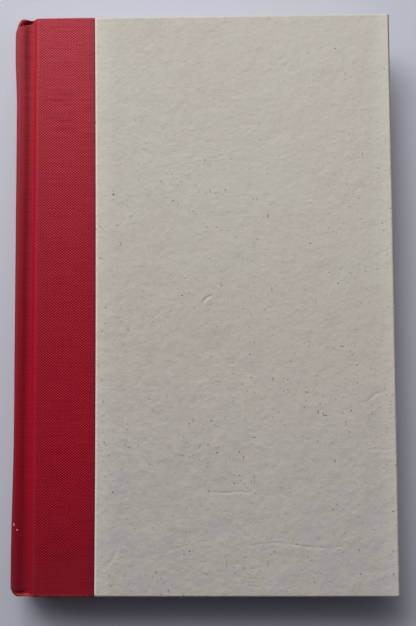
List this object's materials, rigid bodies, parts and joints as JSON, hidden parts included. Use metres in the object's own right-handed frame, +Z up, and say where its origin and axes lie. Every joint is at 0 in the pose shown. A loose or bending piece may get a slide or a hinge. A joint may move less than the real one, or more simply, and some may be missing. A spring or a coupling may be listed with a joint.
{
  "type": "hardback book",
  "caption": "Closed hardback book with a rounded woven-cloth spine, pressed grooves beside it and speckled paper boards; both covers open on the cloth joints.",
  "frame": {"origin": "middle of the closed book's footprint, on the table under the back cover", "axes": "+X from the spine to the fore-edge, +Y from the tail to the head, +Z up out of the front cover"},
  "size_m": [0.1603, 0.2422, 0.0317],
  "materials": {
    "leaves": "matte",
    "endpaper": "matte",
    "mull": "matte",
    "band": "matte",
    "inlay_card": "matte",
    "book_cloth": "matte woven",
    "board": "matte",
    "siding_paper": "matte, speckled"
  },
  "bodies": {
    "book_block": {"text_block": "leaves", "front_flyleaf": "endpaper", "back_flyleaf": "endpaper", "spine_lining": "mull", "head_band": "band", "tail_band": "band", "spine_inlay": "inlay_card", "spine_cloth": "book_cloth"},
    "front_cover": {"front_board": "board", "front_paper": "siding_paper", "front_cloth": "book_cloth", "front_pastedown": "endpaper"},
    "back_cover": {"back_board": "board", "back_paper": "siding_paper", "back_cloth": "book_cloth", "back_pastedown": "endpaper"}
  },
  "joints": [
    {"name": "front_cover_hinge", "type": "hinge", "parent": "book_block", "child": "front_cover", "pos_m": [-0.0748, 0, 0.02945], "axis": [0, -1, 0], "range_deg": [0, 175]},
    {"name": "back_cover_hinge", "type": "hinge", "parent": "book_block", "child": "back_cover", "pos_m": [-0.0748, 0, 0.00225], "axis": [0, 1, 0], "range_deg": [0, 175]}
  ]
}
